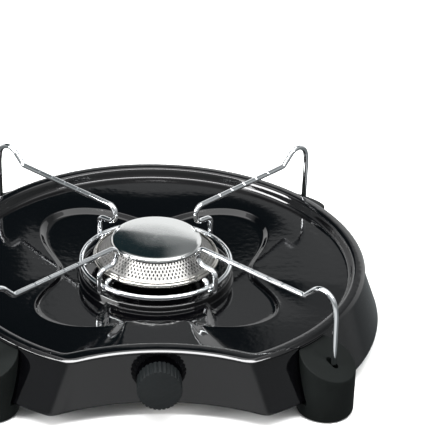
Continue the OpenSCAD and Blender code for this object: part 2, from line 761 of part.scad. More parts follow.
module valve_spindle() {
    l = spindle_seat_y - spindle_front_y;
    color("#b08d45") placed() along_y(spindle_front_y) difference() {
        rotate_extrude($fn = 48) polygon([
            [0, 0], [spindle_r - 0.3, 0], [spindle_r, 0.3], [spindle_r, l - 2], [0.6, l + 0.6],
            [0, l + 0.6]
        ]);
        flat_side(spindle_r, knob_back_y - spindle_front_y);
    }
}

module knob() {
    shell = 2.2;
    color("#2b2c2d") placed() along_y(knob_face_y) difference() {
        union() {
            cylinder(r1 = knob_r - 0.8, r2 = knob_r, h = 0.8, $fn = 96);
            translate([0, 0, 0.8]) cylinder(r = knob_r, h = knob_len - 0.8, $fn = 96);
        }
        for (i = [0 : flutes - 1])
            rotate([0, 0, 360 * i / flutes]) translate([knob_r + flute_r * 0.4, 0, -1])
                cylinder(r = flute_r, h = knob_len + 2, $fn = 16);
        translate([0, 0, shell]) difference() {
            cylinder(r = knob_r - shell, h = knob_len, $fn = 64);
            translate([0, 0, -1]) cylinder(r = spindle_r + 3, h = knob_len, $fn = 48);
        }
        translate([0, 0, spindle_front_y - knob_face_y - gap]) difference() {
            cylinder(r = spindle_r + 0.03, h = knob_len, $fn = 48);
            translate([0, -0.03, 0]) flat_side(spindle_r, knob_len);
        }
    }
}

// The pipe runs beside the mixing tube and burner to the middle of the rear
pipe_points = [
    [port_x + 1.2, port_y], [pipe_x, port_y], [pipe_x, 60], [0, 104], [0, inlet_in_y + 4]
];
module gas_pipe() {
    color("#b4b7b9") placed() translate([0, 0, gas_z]) rotate([-90, 0, 0])
        wire(pipe_points, [0, pipe_bend, pipe_bend, pipe_bend, 0], pipe_d);
}

module pipe_nut() {
    difference() {
        hexagon(neck_nut_af - 1, 8);
        translate([0, 0, -1]) cylinder(d = pipe_d + 2 * fit, h = 20, $fn = 32);
        translate([0, 0, -1]) cylinder(r = neck_r + thread_play / 2, h = thread_l + 0.6, $fn = 48);
    }
}

module pipe_nuts() {
    color("#c4a052") placed() {
        translate([port_x + 0.5, port_y, gas_z]) rotate([0, 90, 0]) pipe_nut();
        along_y(inlet_in_y + 5.5) mirror([0, 0, 1]) pipe_nut();
    }
}

module inlet_bracket() {
    color("#8d9093") placed() translate([0, inlet_plate_y, 0]) bracket(inlet_r + inlet_step + touch, 1);
}

module inlet_fitting() {
    color("#c4a052") placed() difference() {
        union() {
            along_y(inlet_in_y) cylinder(r = neck_r, h = 9.5, $fn = 48);
            along_y(inlet_plate_y - shoulder_l) hexagon(inlet_nut_af, shoulder_l);
            along_y(inlet_plate_y - 1)
                cylinder(r = inlet_r + inlet_step, h = inlet_step_y - inlet_plate_y + 1, $fn = 48);
            along_y(inlet_step_y - 1)
                cylinder(r = inlet_r, h = inlet_end_y - inlet_step_y + 1, $fn = 48);
        }
        along_y(inlet_in_y - 1) cylinder(d = pipe_d + 2 * fit, h = 6, $fn = 32);
        along_y(inlet_in_y) cylinder(r = 2, h = inlet_end_y - inlet_in_y + 1, $fn = 32);
        along_y(inlet_end_y - 3) cylinder(r1 = 2, r2 = 4.2, h = 3.01, $fn = 32);
    }
}

module inlet_locknut() {
    color("#c4a052") placed() along_y(inlet_plate_y + plate) difference() {
        hexagon(inlet_nut_af, nut_h);
        translate([0, 0, -1]) cylinder(r = inlet_r + inlet_step + thread_play / 2, h = nut_h + 2, $fn = 48);
    }
}

tray();
base_skirt();
front_left_foot();
front_right_foot();
rear_left_foot();
rear_right_foot();
foot_screws();
foot_washers();
pan_support_ring();
front_left_arm();
front_right_arm();
rear_left_arm();
rear_right_arm();
burner_cap();
burner_port_ring();
burner_rim_ring();
burner_bowl();
burner_screws();
mixing_tube();
jet();
valve_body();
valve_bracket();
valve_locknut();
valve_gland_nut();
spindle_seal();
valve_spindle();
knob();
gas_pipe();
pipe_nuts();
inlet_bracket();
inlet_fitting();
inlet_locknut();
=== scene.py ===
# A single burner table stove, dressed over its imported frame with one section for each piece.
# Sizes are in millimetres, azimuths in degrees from the middle of the front, which faces -Y.
import math
import bmesh
import bpy
from mathutils import Matrix, Vector


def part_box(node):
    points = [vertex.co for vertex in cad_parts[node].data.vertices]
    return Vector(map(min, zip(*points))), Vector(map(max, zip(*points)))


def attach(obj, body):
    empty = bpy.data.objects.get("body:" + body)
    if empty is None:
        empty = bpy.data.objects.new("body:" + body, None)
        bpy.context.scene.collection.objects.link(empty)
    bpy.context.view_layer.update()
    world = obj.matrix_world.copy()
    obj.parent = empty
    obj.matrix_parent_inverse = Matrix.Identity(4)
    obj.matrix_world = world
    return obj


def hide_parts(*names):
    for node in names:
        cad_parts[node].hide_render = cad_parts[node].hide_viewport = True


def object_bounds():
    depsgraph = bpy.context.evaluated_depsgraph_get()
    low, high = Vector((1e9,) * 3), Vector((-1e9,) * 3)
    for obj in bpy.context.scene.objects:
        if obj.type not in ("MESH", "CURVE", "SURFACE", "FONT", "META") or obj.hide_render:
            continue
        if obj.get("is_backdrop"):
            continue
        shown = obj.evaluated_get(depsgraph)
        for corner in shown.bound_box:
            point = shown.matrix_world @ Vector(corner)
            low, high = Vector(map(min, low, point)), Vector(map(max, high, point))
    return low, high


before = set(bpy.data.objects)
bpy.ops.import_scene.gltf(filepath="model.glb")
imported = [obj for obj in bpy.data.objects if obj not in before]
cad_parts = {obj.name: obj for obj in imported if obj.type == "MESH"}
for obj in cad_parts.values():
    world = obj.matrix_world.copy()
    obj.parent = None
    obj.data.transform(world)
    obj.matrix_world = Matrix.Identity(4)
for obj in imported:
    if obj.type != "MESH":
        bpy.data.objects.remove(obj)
cad_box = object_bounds()

# Camera: a long lens in front of the stove and above it, turned a little to the right. Every
# place in this file is measured from the burner's axis, on the table, which the cap's box gives.
MM = 0.001
cap_low, cap_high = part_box("burner_cap")
AXIS = Vector(((cap_low[0] + cap_high[0]) / 2, (cap_low[1] + cap_high[1]) / 2, 0))


def at(x, y, z):
    """A point given in millimetres from the burner's axis on the table."""
    return AXIS + MM * Vector((x, y, z))


YAW, PITCH, ROLL = math.radians(3.57), math.radians(28.74), math.radians(1.93)
# The focal length is known in pixels of a frame that is 430 pixels wide
SENSOR, FOCAL_PX, FRAME_PX = 36, 2000, 430
look = Vector((math.sin(YAW) * math.cos(PITCH), math.cos(YAW) * math.cos(PITCH), -math.sin(PITCH)))
level = Vector((math.cos(YAW), -math.sin(YAW), 0))
right = level * math.cos(ROLL) + level.cross(look) * math.sin(ROLL)
turn = Matrix((right, right.cross(look), -look)).transposed().to_euler()
bpy.ops.object.select_all(action="DESELECT")
bpy.ops.object.camera_add(location=at(-37.7, -1293.2, 802.1), rotation=turn)
camera = bpy.context.object
camera.data.sensor_width = SENSOR
camera.data.lens = SENSOR * FOCAL_PX / FRAME_PX
camera.data.clip_end = 50
bpy.context.scene.camera = camera
bpy.context.scene.view_settings.view_transform = "Standard"


# Studio: a white table under a large soft box and a strip box, with a small lamp on the left.
# The grey room round it is what enamel and steel mirror. It is drawn from the direction a ray
# takes, whose height is the sine of its angle above the table.
def colour(code):
    """An sRGB colour in hex, turned linear."""
    parts = [int(code[i:i + 2], 16) / 255 for i in (1, 3, 5)]
    return [c / 12.92 if c <= 0.04045 else ((c + 0.055) / 1.055) ** 2.4 for c in parts] + [1]


def add(tree, kind, values=(), links=(), **settings):
    """Adds a node to a tree, with its settings, its sockets' values and its links."""
    made = tree.nodes.new(kind)
    for name, value in settings.items():
        setattr(made, name, value)
    for socket, value in dict(values).items():
        made.inputs[socket].default_value = value
    for socket, source in dict(links).items():
        tree.links.new(source, made.inputs[socket])
    return made


world = bpy.data.worlds.new("dim_room")
bpy.context.scene.world = world
world.use_nodes = True
room = world.node_tree
sky = add(room, "ShaderNodeTexCoord")
way = add(room, "ShaderNodeSeparateXYZ", links={"Vector": sky.outputs["Generated"]})
to_right, to_back, up = (way.outputs[axis] for axis in "XYZ")


def across(source, one, other):
    """Goes from one grey to another along a source; each end is a place on it with its grey."""
    grey = add(room, "ShaderNodeMapRange",
               {"From Min": one[0], "From Max": other[0], "To Min": one[1], "To Max": other[1]},
               {"Value": source})
    return grey.outputs["Result"]


def above(slope, low, high, one, other):
    """The same for the height over a line that rises to the right, between two limits."""
    slant = add(room, "ShaderNodeClamp", {"Min": low, "Max": high}, {"Value": to_right})
    height = add(room, "ShaderNodeMath", {1: -slope}, {0: slant.outputs["Result"], 2: up},
                 operation="MULTIPLY_ADD")
    return across(height.outputs["Value"], one, other)


def blend(share, first, second):
    """Goes from a first grey to a second; either is a number or a socket."""
    mix = add(room, "ShaderNodeMix", links={"Factor": share})
    for socket, source in (("A", first), ("B", second)):
        if isinstance(source, float):
            mix.inputs[socket].default_value = source
        else:
            room.links.new(source, mix.inputs[socket])
    return mix.outputs["Result"]


# Behind the stove a pale screen ends at a slanting edge 25 to 30 degrees up. A narrow grey strip
# lies over it, then a gap, dark on the left and grey on the right, and the roof is white.
gap = blend(above(1.3, -0.2, 0.015, (0.493, 0), (0.505, 1)), 0.42,
            across(to_right, (0.05, 0.015), (0.07, 0.28)))
screen = blend(above(0.397, -0.2, 0.25, (0.435, 1), (0.447, 0)), gap,
               across(to_back, (0.3, 0.45), (0.8, 1.35)))
rear = blend(across(up, (0.7, 0), (0.85, 1)), screen, across(to_back, (-1, 1.2), (1, 1.1)))
# In front the room gets brighter upward, and below the horizon lies the lit table
front = across(up, (0.2, 0.33), (0.5, 0.9))
upper = blend(across(to_back, (-0.3, 0), (0.25, 1)), front, rear)
lower = across(to_back, (-0.5, 0.2), (-0.68, 0.92))
whole = blend(across(up, (-0.2, 0), (-0.03, 1)), lower, upper)
# The light is a little blue
tint = add(room, "ShaderNodeCombineColor", links={"Red": whole})
for channel, haze in (("Green", 0.015), ("Blue", 0.02)):
    lifted = add(room, "ShaderNodeMath", {1: haze}, {0: whole}, operation="ADD")
    room.links.new(lifted.outputs["Value"], tint.inputs[channel])
room.links.new(tint.outputs["Color"], room.nodes["Background"].inputs["Color"])

# Each lamp's size is in metres and its power in watts
for name, size, power, place, aim in (
    ("soft_box", (2.4, 2.4), 30, (0, 400, 2500), (0, 400, 0)),
    ("strip_box", (4.5, 0.5), 150, (0, -850, 2450), (0, 0, 0)),
    ("left_lamp", (1.2, 0.8), 70, (-2000, -700, 900), (-120, -120, 30)),
):
    bpy.ops.object.select_all(action="DESELECT")
    facing = (at(*aim) - at(*place)).to_track_quat("-Z", "Y").to_euler()
    bpy.ops.object.light_add(type="AREA", location=at(*place), rotation=facing)
    lamp = bpy.context.object
    lamp.name = name
    lamp.data.shape = "RECTANGLE"
    lamp.data.size, lamp.data.size_y = size
    lamp.data.energy = power
    lamp.visible_camera = False


def surface(name, values):
    """A new material with some of its shader's values, and its tree."""
    made = bpy.data.materials.new(name)
    made.use_nodes = True
    for socket, value in values.items():
        made.node_tree.nodes["Principled BSDF"].inputs[socket].default_value = value
    return made, made.node_tree


# The table is a round sheet of 12 m that lies a tenth of a millimetre below the feet
bpy.ops.object.select_all(action="DESELECT")
bpy.ops.mesh.primitive_circle_add(vertices=96, radius=6, fill_type="NGON", location=(0, 0, -0.0001))
table = bpy.context.object
table.name = "white_table"
white, _ = surface("white_laminate", {
    "Base Color": colour("#f4f4f3"), "Roughness": 0.6, "Specular IOR Level": 0.2})
table.data.materials.append(white)
table.visible_glossy = False
table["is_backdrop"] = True


# Wall: deep drawn steel under the tray, flared, drawn in at the front, with its bottom edge
# rolled inward. Tray and wall are dipped in black vitreous enamel and fired, which leaves glass
# with a mirror gloss and a faint orange peel.
RIM_H, RIM_R, FRONT_Y, FRONT_BOW_R, CORNER_SOFT, FRONT_DRAW = 53.5, 157, 126.5, 145, 5, 3.7
SHEET, WALL_TOP, WALL_FLANGE, WALL_FOOT, HEM_R = 1, 51.4, 52.4, 11.5, 2
HEM_Z = WALL_FOOT + HEM_R
# How far the wall stands inside the rim, what it flares to its foot, and the bow of its foot
WALL_IN, WALL_FLARE, FRONT_FLARE, HEM_BOW_R = 2.5, 13.77, 4.5, 163
GAS_Z = 31.2
SPOKES = 480


def sine(degrees):
    return math.sin(math.radians(degrees))


def cosine(degrees):
    return math.cos(math.radians(degrees))


def outline(az, radius, front, bow):
    """Distance of a round edge with a concave front from the axis, with soft corners."""
    centre = front + bow
    rest = bow ** 2 - (centre * sine(az)) ** 2
    arc = centre * cosine(az) - math.sqrt(rest) if cosine(az) > 0 and rest > 0 else 2 * RIM_R
    near = max(CORNER_SOFT - abs(radius - arc), 0) / CORNER_SOFT
    return min(radius, arc) - near * near * CORNER_SOFT / 4


def smooth(x):
    """A soft step from 0 to 1."""
    t = min(max(x, 0), 1)
    return t * t * (3 - 2 * t)


def off_front(az):
    """How many degrees an azimuth lies off the front, to either side."""
    return abs((az + 180) % 360 - 180)


def down(z):
    """Where a height lies on the wall, 0 at its top and 1 at its hem."""
    return (WALL_TOP - z) / (WALL_TOP - HEM_Z)


def draw_in(az, z=RIM_H):
    """How far the rim is drawn in, from 100 to 40 degrees off the front. The wall below it
    changes to its hem, which is drawn in from 60 to 30 degrees."""
    share = max(down(z), 0)
    return FRONT_DRAW * (smooth((100 - off_front(az)) / 60) * (1 - share)
                         + smooth((60 - off_front(az)) / 30) * share)


def wall_at(az, inside, z):
    """Radius of the wall's outer face at a height, or of a line inside it."""
    share = down(z)
    bow = (FRONT_BOW_R + WALL_IN) * (1 - share) + HEM_BOW_R * share
    return outline(az, RIM_R - WALL_IN + WALL_FLARE * share - draw_in(az, z) - inside,
                   FRONT_Y - WALL_IN + FRONT_FLARE * share - inside, bow + inside)


def wall_section(az):
    """The wall's section as radii and heights, up from inside the hem to the flange's edge."""
    hem = [(wall_at(az, HEM_R * (1 - cosine(a)), HEM_Z), WALL_FOOT + HEM_R * (1 + sine(a)))
           for a in range(-150, 1, 15)]
    rise = [HEM_Z + (WALL_TOP - HEM_Z) * t
            for t in (0.02, 0.1, 0.2, 0.3, 0.4, 0.5, 0.6, 0.7, 0.8, 0.9, 0.98)]
    flange = [(0, WALL_TOP), (0.3, WALL_TOP + 0.7)] + [(inside, WALL_FLANGE) for inside in (1, 2.5, 4.5)]
    return (hem + [(wall_at(az, 0, z), z) for z in rise]
            + [(wall_at(az, inside, WALL_TOP), z) for inside, z in flange])


def start(primitive, **settings):
    """Adds a primitive with nothing else selected and opens it in edit mode, at its place."""
    if bpy.context.object and bpy.context.object.mode == "EDIT":
        bpy.ops.object.mode_set(mode="OBJECT")
    bpy.ops.object.select_all(action="DESELECT")
    primitive(**settings)
    bpy.ops.object.transform_apply(location=True, rotation=True, scale=True)
    bpy.ops.object.mode_set(mode="EDIT")
    return bpy.context.object


def choose(piece):
    """Leaves edit mode and makes one piece the only one that is selected."""
    if bpy.context.object and bpy.context.object.mode == "EDIT":
        bpy.ops.object.mode_set(mode="OBJECT")
    bpy.ops.object.select_all(action="DESELECT")
    piece.select_set(True)
    bpy.context.view_layer.objects.active = piece


def modify(piece, kind, **settings):
    """Adds a modifier and applies it."""
    bpy.ops.object.modifier_add(type=kind)
    made = piece.modifiers[-1]
    for name, value in settings.items():
        setattr(made, name, value)
    bpy.ops.object.modifier_apply(modifier=made.name)


def lofted(section, upward):
    """Extrudes a circle ring by ring along a section that changes with the azimuth. The faces
    look upward or outward, and the sheet's thickness is added behind them."""
    piece = start(bpy.ops.mesh.primitive_circle_add, vertices=SPOKES, radius=RIM_R * MM, location=AXIS)
    paths = [section(spoke * 360 / SPOKES) for spoke in range(SPOKES)]
    for ring in range(len(paths[0])):
        if ring:
            bpy.ops.mesh.extrude_edges_move()
        mesh = bmesh.from_edit_mesh(piece.data)
        for v in [v for v in mesh.verts if v.select]:
            x, y = v.co.x - AXIS.x, v.co.y - AXIS.y
            spoke = round(math.degrees(math.atan2(x, -y)) * SPOKES / 360) % SPOKES
            az = spoke * 360 / SPOKES
            r, z = paths[spoke][ring]
            v.co = at(r * sine(az), -r * cosine(az), z)
        bmesh.update_edit_mesh(piece.data)
    bpy.ops.mesh.select_all(action="SELECT")
    mesh = bmesh.from_edit_mesh(piece.data)
    mesh.normal_update()
    widest = max(mesh.faces, key=lambda f: f.calc_area())
    side = widest.normal.z if upward else widest.normal.dot(widest.calc_center_median() - AXIS)
    if side < 0:
        bpy.ops.mesh.flip_normals()
    bpy.ops.object.mode_set(mode="OBJECT")
    modify(piece, "SOLIDIFY", thickness=SHEET * MM, offset=-1, use_even_offset=True)
    return piece


def cut(piece, cutter):
    """Cuts a closed piece with another and clears the cutter away."""
    choose(piece)
    modify(piece, "BOOLEAN", object=cutter, operation="DIFFERENCE", solver="EXACT")
    bpy.data.objects.remove(cutter)


def done(piece, name, body, material, slot, *nodes, angle=35):
    """Names a piece, shades it, gives it its material, fixes it to its body and hides the CAD nodes it
    stands for.
    """
    choose(piece)
    bpy.ops.object.transform_apply(location=True, rotation=True, scale=True)
    bpy.ops.object.shade_smooth_by_angle(angle=math.radians(angle))
    piece.name = piece.data.name = name
    piece.data.materials.clear()
    piece.data.materials.append(material)
    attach(piece, body)
    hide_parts(*nodes)


def pattern(tree, kind, values, mapping=None, **settings):
    """A texture over the piece's own coordinates, which may be moved or stretched first."""
    source = add(tree, "ShaderNodeTexCoord").outputs["Object"]
    if mapping:
        source = add(tree, "ShaderNodeMapping", mapping, {"Vector": source}).outputs["Vector"]
    return add(tree, kind, values, {"Vector": source}, **settings).outputs["Fac"]


def feed(tree, socket, source):
    """Links a source to a socket of a material's shader."""
    tree.links.new(source, tree.nodes["Principled BSDF"].inputs[socket])


def relief(tree, fac, strength, distance):
    """Makes a pattern show as relief. The distance is in metres."""
    made = add(tree, "ShaderNodeBump", {"Strength": strength, "Distance": distance}, {"Height": fac})
    feed(tree, "Normal", made.outputs["Normal"])


# The peel's waves are about 5 mm wide and a few hundredths of a millimetre high
enamel, tree = surface("vitreous_enamel_fired", {
    "Base Color": colour("#030304"), "Roughness": 0.055, "IOR": 1.52})
peel = pattern(tree, "ShaderNodeTexNoise", {"Scale": 200, "Detail": 2, "Roughness": 0.45})
relief(tree, peel, 0.09, 0.0004)

wall = lofted(wall_section, upward=False)
# The inlet comes through the wall at the rear, the valve's neck at the front
for radius, depth, y in ((9, 40, 160), (9.5, 20, -FRONT_Y)):
    hole = start(bpy.ops.mesh.primitive_cylinder_add, vertices=64, radius=radius * MM, depth=depth * MM,
                 location=at(0, y, GAS_Z), rotation=(math.radians(90), 0, 0))
    cut(wall, hole)
done(wall, "flared_wall", "base", enamel, "black_enamel", "base_skirt")


# Tray: the same enamelled steel, pressed. A flat rim that is wider in front, a dished floor, a
# recess with four lobes, a raised tongue over the mixing tube and an upturned collar round the
# burner's well.
LIP_DROP, BAND, FRONT_BAND, DISH, DISH_FALL = 2.8, 7.3, 3, 7.5, 2.5
DISH_IN, RECESS_DEPTH, TONGUE_RISE, TONGUE_HALF, PLATFORM_RISE = BAND + 5.7, 3, 2.7, 37.5, 1.7
RECESS_EDGE, WAIST_R, FRONT_LOBE, REAR_LOBE = 3.5, 72.5, 34, 43.5
RING_R, COLLAR_Z, WELL_Z, LIP_HALF = 55.6, 46.9, 43.5, 1.6
# The platform's half angle, how much it rises on its way out, and the bead round the front lobes
PLATFORM_HALF, PLATFORM_MORE, LOBE_BEAD = 19, 0.5, 0.12
SLOPE_STEPS, FLOOR_STEPS = 7, 9


def near_front(az, half, soft=4):
    """1 in front and 0 elsewhere, with a soft change of a given width at a half angle."""
    return smooth((half - off_front(az)) / soft + 0.5)


def bump(x, half):
    """A soft hill, 1 at its middle and 0 beyond its half width."""
    return (1 + math.cos(math.pi * x / half)) / 2 if abs(x) < half else 0


def recess_r(az):
    """Radius of the recess's edge, with its front lobes at 51.5 degrees and its rear ones at 139."""
    a = off_front(az)
    return (WAIST_R + FRONT_LOBE * bump(a - 51.5, 36 if a > 51.5 else 46)
            + REAR_LOBE * bump(a - 139, 47))


def rounded(path):
    """Rounds a section's corners. Each point is a radius, a height and a reach: it is cut off
    twice, at most its reach along both its edges, and points with no reach stay sharp."""
    for _ in range(2):
        made = []
        for i, (r, z, reach) in enumerate(path):
            if not reach:
                made.append((r, z, 0))
                continue
            for end in (path[i - 1], path[i + 1]):
                length = math.dist((r, z), end[:2])
                t = min(reach, length / 4) / length
                made.append((r + (end[0] - r) * t, z + (end[1] - z) * t, reach / 2))
        path = made
    return [point[:2] for point in path]


def dish_z(r):
    """Height of the floor, a shallow cone that falls towards the burner."""
    dish_r = RIM_R - DISH_IN
    return RIM_H - DISH - DISH_FALL * (dish_r - r) / (dish_r - WAIST_R)


def tray_section(az):
    """The tray's section from its lip down to the well, as points for rounded."""
    def rim_at(inside):
        front = inside + FRONT_BAND * min(max(inside - 2, 0) / (BAND - 2), 1)
        return outline(az, RIM_R - draw_in(az) - inside, FRONT_Y - front, FRONT_BOW_R + front)
    edge, floor_end = recess_r(az), rim_at(DISH_IN)
    # In front the floor is flat instead of crowned, the lip is softer and the recess is steeper
    flat, soft = near_front(az, 62, 40), near_front(az, 90, 60)
    foot = edge - RECESS_EDGE + (2.6 * near_front(az, 95, 30) - 0.7)
    rise = (dish_z(floor_end) - dish_z(edge)) * (1 - flat) + 0.35 * flat
    drop = (RIM_H - dish_z(edge) - rise
            - (PLATFORM_RISE + PLATFORM_MORE) * near_front(az, PLATFORM_HALF, 12))
    # Lip, flat rim and dish, as distances inside the edge, falls below the rim and reaches
    rim = [(0.15, LIP_DROP, 0), (0, LIP_DROP - 0.4, 0.3), (0, 1.6 + 0.4 * soft, 0.3),
           (0.25, 1 + 0.6 * soft, 0.3), (1 + 0.9 * soft, 0.3, 0.3), (2.5, 0, 0.3),
           (BAND, 0.18 * near_front(az, 60, 60), 1), (BAND + 1.2, 0.45, 1), (BAND + 2.2, 1.4, 1),
           (DISH_IN - 1.7, drop - 1.3, 1), (DISH_IN - 0.8, drop - 0.35, 1), (DISH_IN, drop, 1)]
    path = [(rim_at(inside), RIM_H - fall, reach) for inside, fall, reach in rim]
    # The floor, with the platform in front, down to the recess's edge
    steps = [step / SLOPE_STEPS for step in range(SLOPE_STEPS - 1, 0, -1)]
    for t in steps + [1.4 / (floor_end - edge)]:
        platform = near_front(az, PLATFORM_HALF, 5 + 7 * t) * (PLATFORM_RISE + PLATFORM_MORE * t)
        path.append((edge + (floor_end - edge) * t,
                     dish_z(edge) + rise * (1 - (1 - t) ** (2 - flat)) + platform, 0))
    bead = LOBE_BEAD * near_front(az, 85, 20) * (1 - near_front(az, 27, 6))
    path.append((edge, dish_z(edge) + near_front(az, PLATFORM_HALF, 5) * PLATFORM_RISE + bead, 0.5))
    # The recess's floor with the tongue, then the collar's rolled edge and the well
    collar_r = RING_R + LIP_HALF + 0.6
    for step in range(FLOOR_STEPS, -1, -1):
        r = collar_r + (foot - collar_r) * step / FLOOR_STEPS
        tongue = near_front(az, math.degrees(math.asin(TONGUE_HALF / r)), 2.5)
        path.append((r, dish_z(r) - RECESS_DEPTH + TONGUE_RISE * tongue,
                     1 if step in (0, FLOOR_STEPS) else 0))
    path.append((collar_r - 0.5, path[-1][1] + 0.4, 1))
    path += [(RING_R + LIP_HALF * cosine(a), COLLAR_Z - LIP_HALF + LIP_HALF * sine(a), 0)
             for a in range(0, 181, 30)]
    path += [(RING_R - 2, WELL_Z + 0.4, 0.3), (RING_R - 2.6, WELL_Z, 0), (12, WELL_Z, 0)]
    return rounded(path)


tray = lofted(tray_section, upward=True)
done(tray, "pressed_tray", "base", enamel, "black_enamel", "tray")


# Feet: moulded rubber, round, with a slanted top that has a soft edge, a long socket for the
# arm's leg, a slot that straddles the wall and a notch under the tray's dished floor. Rubber has
# a dull bloom and picks up a little dust.
def tints(tree, fac, dark, light, low=0, high=1):
    """Lets a material's colour follow a pattern, from a dark tone to a light one."""
    made = add(tree, "ShaderNodeValToRGB", links={"Fac": fac})
    for stop, position, code in zip(made.color_ramp.elements, (low, high), (dark, light)):
        stop.position = position
        stop.color = colour(code)
    feed(tree, "Base Color", made.outputs["Color"])


rubber, tree = surface("moulded_rubber", {"Roughness": 0.68, "Specular IOR Level": 0.13})
bloom = pattern(tree, "ShaderNodeTexNoise", {"Scale": 45, "Detail": 5, "Roughness": 0.6})
tints(tree, bloom, "#040706", "#080c0b", 0.35, 0.7)
relief(tree, pattern(tree, "ShaderNodeTexNoise", {"Scale": 1600, "Detail": 2}), 0.25, 0.0002)

FOOT_R, FOOT_AT, FOOT_H, FOOT_CAP, FOOT_SLOPE = 20.4, 167, 42.3, 50.3, 23.4
ARM_REACH, ARM_LEAN, LEG_DEPTH, WIRE_R = 172.2, 1.2, 12, 2
# The gap between pieces that fit together, the socket's middle and half the way between its ends
PLAY, SOCKET_AT, SOCKET_HALF = 0.3, ARM_REACH - 0.85, 2.75
# Each foot and arm with its azimuth and the way its arm leans
CORNERS = (("front_left", -45, 1), ("front_right", 45, 1), ("rear_right", 135, -1), ("rear_left", -135, -1))


def turned(profile, steps=128):
    """Draws a profile of radii and heights point by point, closes it and spins it about the axis."""
    spots = [at(r, 0, h) for r, h in [*profile, profile[0]]]
    piece = start(bpy.ops.mesh.primitive_plane_add, size=MM, location=spots[0])
    bpy.ops.mesh.merge(type="CENTER")
    for a, b in zip(spots, spots[1:]):
        bpy.ops.mesh.extrude_region_move(TRANSFORM_OT_translate={"value": b - a})
    bpy.ops.mesh.select_all(action="SELECT")
    bpy.ops.mesh.spin(steps=steps, angle=math.tau, center=AXIS, axis=(0, 0, 1))
    bpy.ops.mesh.select_all(action="SELECT")
    bpy.ops.mesh.remove_doubles(threshold=0.00001)
    bpy.ops.mesh.normals_make_consistent(inside=False)
    return piece


def pick(piece, kind, test):
    """Selects those vertices, edges or faces of a piece in edit mode that pass a test."""
    mesh = bmesh.from_edit_mesh(piece.data)
    mesh.normal_update()
    for part in getattr(mesh, kind):
        part.select = test(part)
    if kind == "verts":
        mesh.select_flush_mode()
    bmesh.update_edit_mesh(piece.data)


def wall_face(az, z, inside):
    """Radius and height on the wall where it is round, or inside it."""
    return RIM_R - WALL_IN + WALL_FLARE * down(z) - draw_in(az, z) - inside, z


for corner, az, lean in CORNERS:
    blank = FOOT_CAP + 10
    foot = start(bpy.ops.mesh.primitive_cylinder_add, vertices=96, radius=FOOT_R * MM,
                 depth=blank * MM, location=at(FOOT_AT, 0, blank / 2))
    bpy.ops.mesh.select_all(action="DESELECT")
    pick(foot, "edges", lambda edge: all(v.co.z < 0.1 * MM for v in edge.verts))
    bpy.ops.mesh.bevel(offset=3 * MM, segments=5, affect="EDGES")
    # The top is cut on the slant and, just under the rim's lip, level
    for height, normal in ((FOOT_H, (sine(FOOT_SLOPE), 0, cosine(FOOT_SLOPE))), (FOOT_CAP, (0, 0, 1))):
        bpy.ops.mesh.select_all(action="SELECT")
        bpy.ops.mesh.bisect(plane_co=at(FOOT_AT, 0, height), plane_no=normal, use_fill=True,
                            clear_outer=True)
    pick(foot, "faces", lambda face: face.normal.z > 0.7)
    bpy.ops.mesh.region_to_loop()
    bpy.ops.mesh.bevel(offset=0.9 * MM, segments=3, affect="EDGES")
    # The socket: one half of a round cutter's points is moved out and the other half in
    tilt = MM * (ARM_REACH - RING_R) * sine(ARM_LEAN * lean)
    slope_z = FOOT_H - (ARM_REACH - FOOT_AT) * math.tan(math.radians(FOOT_SLOPE))
    floor, depth = (slope_z - LEG_DEPTH - PLAY) * MM + tilt, 30 * MM
    socket = start(bpy.ops.mesh.primitive_cylinder_add, vertices=32, radius=(WIRE_R + PLAY) * MM,
                   depth=depth, location=at(SOCKET_AT, 0, 0) + Vector((0, 0, floor + depth / 2)))
    pick(socket, "verts", lambda v: v.co.x > SOCKET_AT * MM + 1e-6)
    bpy.ops.transform.translate(value=(SOCKET_HALF * MM, 0, 0))
    bpy.ops.mesh.select_all(action="INVERT")
    bpy.ops.transform.translate(value=(-SOCKET_HALF * MM, 0, 0))
    cut(foot, socket)
    # The slot round wall and hem, between the azimuths that the foot's sides reach
    half = math.degrees(math.asin(FOOT_R / FOOT_AT))
    near, far = off_front(az) - half, off_front(az) + half
    hem_in, hem_out = wall_face(near, HEM_Z, 2 * HEM_R + PLAY)[0], wall_face(far, HEM_Z, -PLAY)
    slot = turned([
        (hem_in, WALL_FOOT - PLAY), (hem_out[0], WALL_FOOT - PLAY), hem_out,
        wall_face(far, WALL_TOP, -PLAY), wall_face(near, WALL_TOP, SHEET + 2 * PLAY),
        wall_face(near, HEM_Z + HEM_R, SHEET + 2 * PLAY), (hem_in, HEM_Z + HEM_R)], steps=192)
    cut(foot, slot)
    notch = start(bpy.ops.mesh.primitive_cylinder_add, vertices=192, depth=(DISH + SHEET) * MM,
                  radius=(RIM_R - draw_in(near) - BAND - SHEET - PLAY) * MM,
                  location=at(0, 0, RIM_H - (DISH + SHEET) / 2))
    cut(foot, notch)
    foot.data.transform(Matrix.Translation(AXIS) @ Matrix.Rotation(math.radians(az - 90), 4, "Z")
                        @ Matrix.Translation(-AXIS))
    done(foot, corner + "_rubber_foot", "base", rubber, "foot_rubber", corner + "_foot")


# Burner cap: spun stainless steel, domed, with a rounded edge that hangs over the cone. Spinning
# leaves fine rings. They are 0.1 mm apart on the real one and 0.6 mm here, so that they show.
def gloss(tree, fac, low, high):
    """Lets a material's roughness follow a pattern."""
    made = add(tree, "ShaderNodeMapRange", {"To Min": low, "To Max": high}, {"Value": fac})
    feed(tree, "Roughness", made.outputs["Result"])


steel, tree = surface("stainless_steel_spun", {"Metallic": 1, "Base Color": colour("#c8c9c8")})
rings = pattern(tree, "ShaderNodeTexWave",
                {"Scale": 500, "Distortion": 0.6, "Detail": 2, "Detail Scale": 4},
                {"Location": -AXIS}, wave_type="RINGS", rings_direction="Z")
gloss(tree, rings, 0.05, 0.1)
relief(tree, rings, 0.08, 0.0001)

